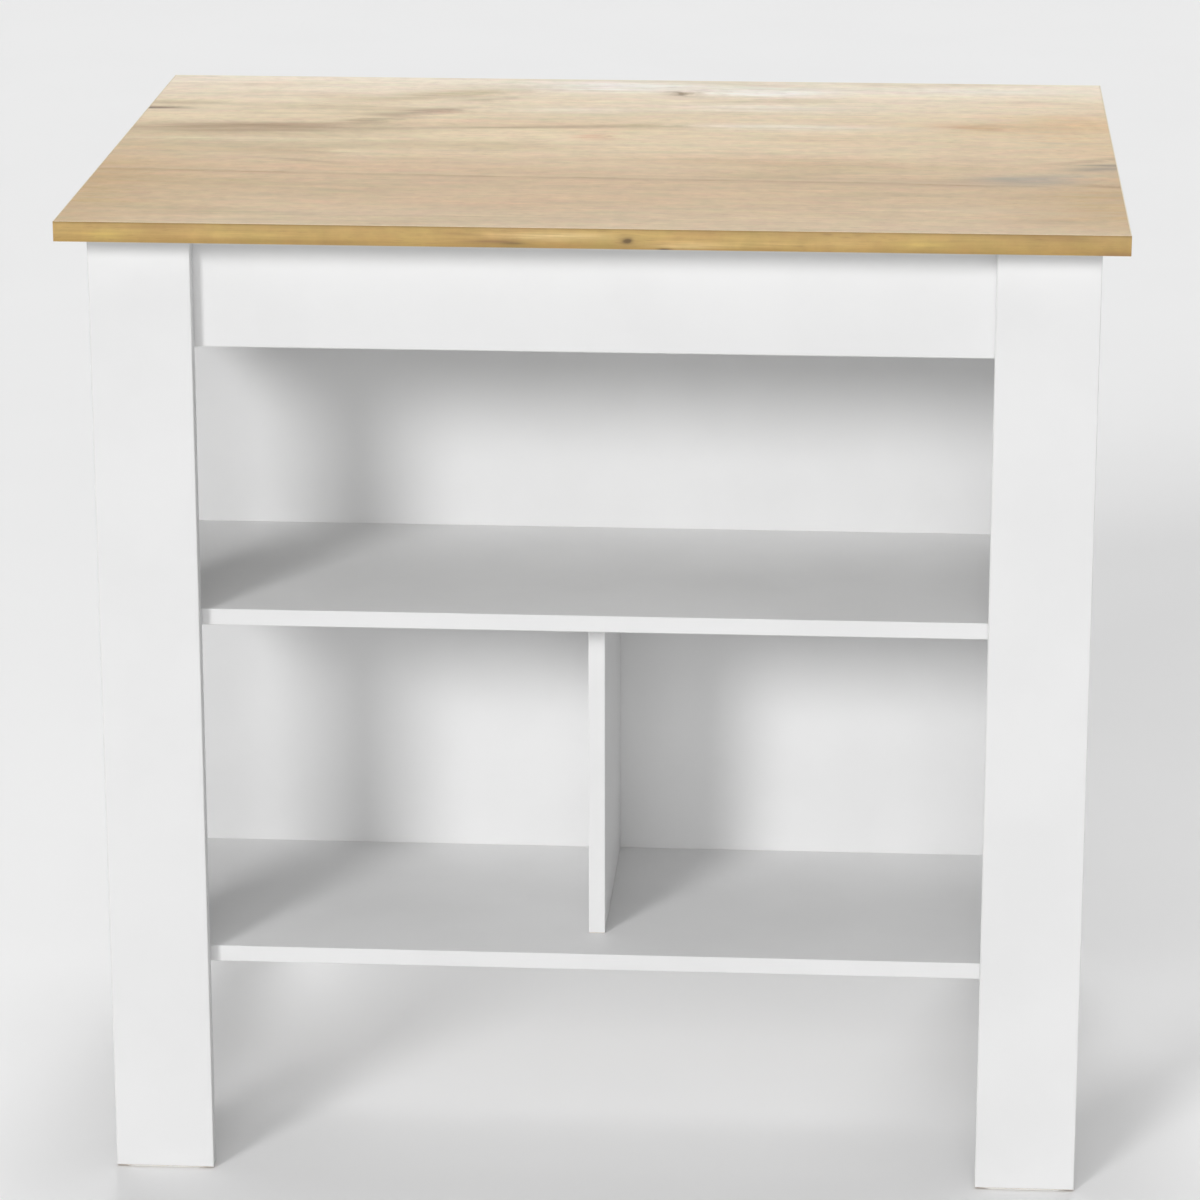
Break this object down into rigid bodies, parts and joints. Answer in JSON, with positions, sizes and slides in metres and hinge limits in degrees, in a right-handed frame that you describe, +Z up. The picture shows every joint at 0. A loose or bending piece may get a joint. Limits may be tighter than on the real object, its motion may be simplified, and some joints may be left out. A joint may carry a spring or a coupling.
{
  "type": "kitchen island unit",
  "caption": "Kitchen island with an oak-effect worktop on white plank legs, open shelves with a divider on one side and knee space behind a back panel on the other.",
  "frame": {"origin": "on the floor, under the middle of the worktop", "axes": "+Z up, +X to the right of someone who faces the shelves, -Y the way the shelves open"},
  "size_m": [0.925, 0.68, 0.9],
  "materials": {
    "oak_laminate": "satin oak-effect laminate",
    "oak_band": "satin oak-effect edge band",
    "white_board": "satin white melamine on chipboard",
    "white_plastic": "moulded",
    "zinc_cast": "die-cast zinc",
    "steel": "zinc plated",
    "beech": "raw turned wood"
  },
  "bodies": {
    "root": {"worktop_board": "oak_laminate", "worktop_band_front": "oak_band", "worktop_band_back": "oak_band", "worktop_band_left": "oak_band", "worktop_band_right": "oak_band", "leg_front_left": "white_board", "glide_front_left": "white_plastic", "leg_back_left": "white_board", "glide_back_left": "white_plastic", "leg_front_right": "white_board", "glide_front_right": "white_plastic", "leg_back_right": "white_board", "glide_back_right": "white_plastic", "apron_front": "white_board", "apron_back": "white_board", "apron_left": "white_board", "side_rail_left": "white_board", "apron_right": "white_board", "side_rail_right": "white_board", "shelf_middle": "white_board", "shelf_lower": "white_board", "divider": "white_board", "back_panel": "white_board", "cam_lock_apron_left_front": "zinc_cast", "cam_bolt_apron_left_front": "steel", "cam_lock_side_rail_left_front": "zinc_cast", "cam_bolt_side_rail_left_front": "steel", "cam_lock_apron_left_back": "zinc_cast", "cam_bolt_apron_left_back": "steel", "cam_lock_side_rail_left_back": "zinc_cast", "cam_bolt_side_rail_left_back": "steel", "cam_lock_shelf_middle_left": "zinc_cast", "cam_bolt_shelf_middle_left": "steel", "cam_lock_shelf_lower_left": "zinc_cast", "cam_bolt_shelf_lower_left": "steel", "cam_lock_apron_right_front": "zinc_cast", "cam_bolt_apron_right_front": "steel", "cam_lock_side_rail_right_front": "zinc_cast", "cam_bolt_side_rail_right_front": "steel", "cam_lock_apron_right_back": "zinc_cast", "cam_bolt_apron_right_back": "steel", "cam_lock_side_rail_right_back": "zinc_cast", "cam_bolt_side_rail_right_back": "steel", "cam_lock_shelf_middle_right": "zinc_cast", "cam_bolt_shelf_middle_right": "steel", "cam_lock_shelf_lower_right": "zinc_cast", "cam_bolt_shelf_lower_right": "steel", "panel_screw_divider": "steel", "panel_screw_shelf_middle_left": "steel", "panel_screw_shelf_middle_right": "steel", "panel_screw_shelf_lower_left": "steel", "panel_screw_shelf_lower_right": "steel", "divider_dowel_upper": "beech", "divider_dowel_lower": "beech", "corner_block_front_left": "white_plastic", "corner_block_front_right": "white_plastic", "corner_block_back_left": "white_plastic", "corner_block_back_right": "white_plastic", "panel_bracket_left": "steel", "panel_bracket_right": "steel"}
  },
  "joints": []
}
